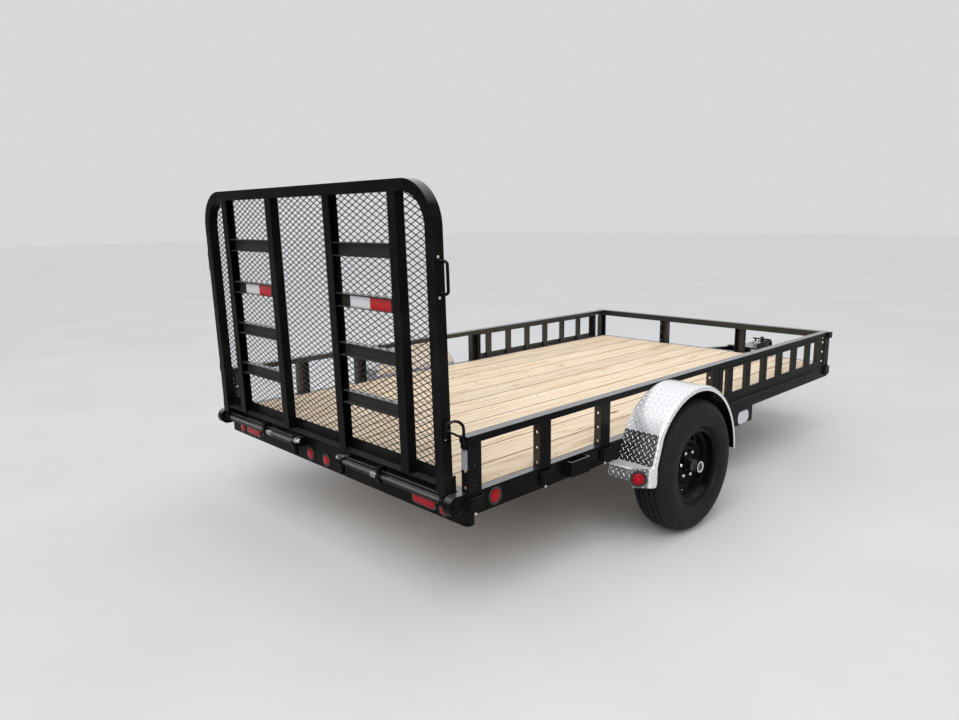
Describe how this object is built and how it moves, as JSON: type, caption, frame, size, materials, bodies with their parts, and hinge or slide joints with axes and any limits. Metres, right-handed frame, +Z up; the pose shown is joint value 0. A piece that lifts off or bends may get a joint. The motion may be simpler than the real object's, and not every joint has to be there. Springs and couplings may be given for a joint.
{
  "type": "utility trailer",
  "caption": "Single axle utility trailer with a plank deck, railing, mesh tailgate ramp, side ramps, treadplate fenders and an A-frame tongue on its jack.",
  "frame": {"origin": "on the ground under the middle of the whole trailer", "axes": "+Y forward along the trailer towards the coupler, +X to its right, +Z up"},
  "size_m": [2.603, 5.1721, 1.8222],
  "materials": {
    "black_paint": "gloss",
    "pine": "raw",
    "treadplate": "bright",
    "zinc": "satin",
    "tyre_rubber": "matte",
    "red_lens": "gloss",
    "expanded_steel": "gloss"
  },
  "bodies": {
    "frame": {"side_rails": "black_paint", "rear_bumper": "black_paint", "front_channel": "black_paint", "crossmembers": "black_paint", "deck_boards": "pine", "tongue_beams": "black_paint", "tongue_plate": "black_paint", "coupler": "black_paint", "jack_tube": "zinc", "jack_crank": "black_paint", "jack_leg": "black_paint", "side_posts": "black_paint", "front_posts": "black_paint", "side_top_rails": "black_paint", "front_top_rail": "black_paint", "ramp_strips": "black_paint", "stake_pockets": "black_paint", "fender_carriers": "black_paint", "fenders": "treadplate", "axle_beam": "black_paint", "leaf_springs": "black_paint", "spring_hangers": "black_paint", "tail_lamps": "red_lens", "rear_round_lamps": "red_lens", "side_markers": "red_lens", "fender_lamps": "red_lens", "hinge_ears": "black_paint", "assist_tubes": "zinc", "assist_brackets": "black_paint", "latch_rods": "black_paint"},
    "gate": {"gate_frame": "black_paint", "gate_stringers": "black_paint", "gate_rungs": "black_paint", "gate_mesh": "expanded_steel", "gate_bottom_rail": "black_paint", "gate_lugs": "black_paint", "gate_handles": "black_paint"},
    "ramp_right": {"ramp_right": "black_paint"},
    "ramp_left": {"ramp_left": "black_paint"},
    "wheel_right": {"tyre_right": "tyre_rubber", "rim_right": "black_paint", "hub_right": "black_paint"},
    "wheel_left": {"tyre_left": "tyre_rubber", "rim_left": "black_paint", "hub_left": "black_paint"}
  },
  "joints": [
    {"name": "gate_hinge", "type": "hinge", "parent": "frame", "child": "gate", "pos_m": [0, -2.533, 0.507], "axis": [1, 0, 0], "range_deg": [0, 110], "stiffness_Nm_per_rad": 120, "springref_deg": -11.46},
    {"name": "ramp_right_slide", "type": "slide", "parent": "frame", "child": "ramp_right", "axis": [1, 0, 0], "range_m": [0, 0.4]},
    {"name": "ramp_left_slide", "type": "slide", "parent": "frame", "child": "ramp_left", "axis": [-1, 0, 0], "range_m": [0, 0.4]},
    {"name": "wheel_right_spin", "type": "hinge", "parent": "frame", "child": "wheel_right", "pos_m": [1.19, -1.02, 0.357], "axis": [1, 0, 0], "continuous": true},
    {"name": "wheel_left_spin", "type": "hinge", "parent": "frame", "child": "wheel_left", "pos_m": [-1.19, -1.02, 0.357], "axis": [1, 0, 0], "continuous": true}
  ]
}
